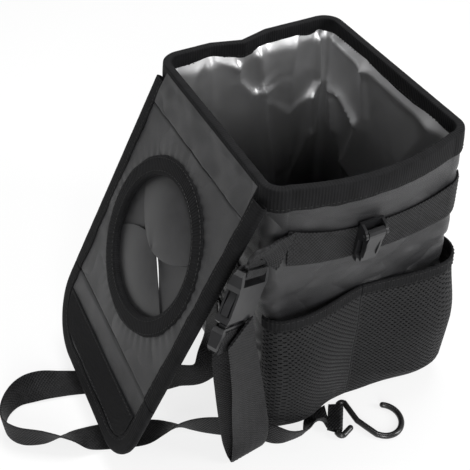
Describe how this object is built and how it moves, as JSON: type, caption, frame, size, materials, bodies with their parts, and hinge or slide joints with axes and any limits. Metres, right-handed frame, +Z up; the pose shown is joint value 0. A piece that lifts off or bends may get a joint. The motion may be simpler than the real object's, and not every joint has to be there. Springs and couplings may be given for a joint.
{
  "type": "car trash bin",
  "caption": "Soft-sided car trash bin with a film liner, a hanging hinged lid with rubber petals, mesh pockets, a buckled strap and a strap with a hook.",
  "frame": {"origin": "middle of the base, on the floor that the part stands on", "axes": "+Z up, -Y towards the side with the pockets, the lid hangs at -X"},
  "size_m": [0.362, 0.2448, 0.25],
  "materials": {
    "shell_fabric": "matte woven",
    "edge_tape": "matte ribbed",
    "webbing": "matte ribbed",
    "mesh": "matte knitted",
    "loop_tape": "fuzzy",
    "hook_tape": "matte",
    "liner_film": "glossy film",
    "board": "matte",
    "petal_rubber": "satin",
    "clip_plastic": "satin",
    "buckle_plastic": "satin",
    "pin_steel": "satin",
    "hook_coating": "satin"
  },
  "bodies": {
    "tub": {"body_shell": "shell_fabric", "liner": "liner_film", "base_board": "board", "rim_binding": "edge_tape", "front_band": "webbing", "back_band": "webbing", "loop_tape": "loop_tape", "pocket_mesh_left": "mesh", "pocket_mesh_right": "mesh", "pocket_elastic_left": "edge_tape", "pocket_elastic_right": "edge_tape", "clip_base": "clip_plastic", "clip_pin": "pin_steel", "buckle_female": "buckle_plastic", "buckle_male": "buckle_plastic", "buckle_loop": "webbing", "buckle_web": "webbing", "strap_tail": "webbing", "wide_strap": "webbing", "strap_patch": "webbing", "hook_strap": "webbing", "hook_strap_loop": "webbing"},
    "lid": {"hinge_cloth": "shell_fabric", "lid_cover": "shell_fabric", "lid_board": "board", "lid_tape_near": "edge_tape", "lid_tape_far": "edge_tape", "hole_binding": "edge_tape", "petal_ring": "edge_tape", "petal_1": "petal_rubber", "petal_2": "petal_rubber", "petal_3": "petal_rubber", "petal_4": "petal_rubber"},
    "flap": {"flap_cover": "shell_fabric", "flap_tape": "edge_tape", "hook_tape": "hook_tape"},
    "lever": {"clip_lever": "clip_plastic"},
    "hook": {"s_hook": "hook_coating"}
  },
  "joints": [
    {"name": "lid_hinge", "type": "hinge", "parent": "tub", "child": "lid", "pos_m": [-0.0838, -0.003, 0.246], "axis": [0, 1, 0], "range_deg": [0, 241.4]},
    {"name": "flap_fold", "type": "hinge", "parent": "lid", "child": "flap", "pos_m": [-0.16993, -0.003, 0.07883], "axis": [0, 1, 0], "range_deg": [0, 108]},
    {"name": "clip_lever", "type": "hinge", "parent": "tub", "child": "lever", "pos_m": [-0.004, -0.10647, 0.2012], "axis": [-1, 0, 0], "range_deg": [0, 25], "stiffness_Nm_per_rad": 0.02, "springref_deg": -17.19},
    {"name": "hook_swing", "type": "hinge", "parent": "tub", "child": "hook", "pos_m": [-0.019, -0.114, 0.0043], "axis": [-0.5446, -0.8387, 0], "range_deg": [0, 80]}
  ]
}
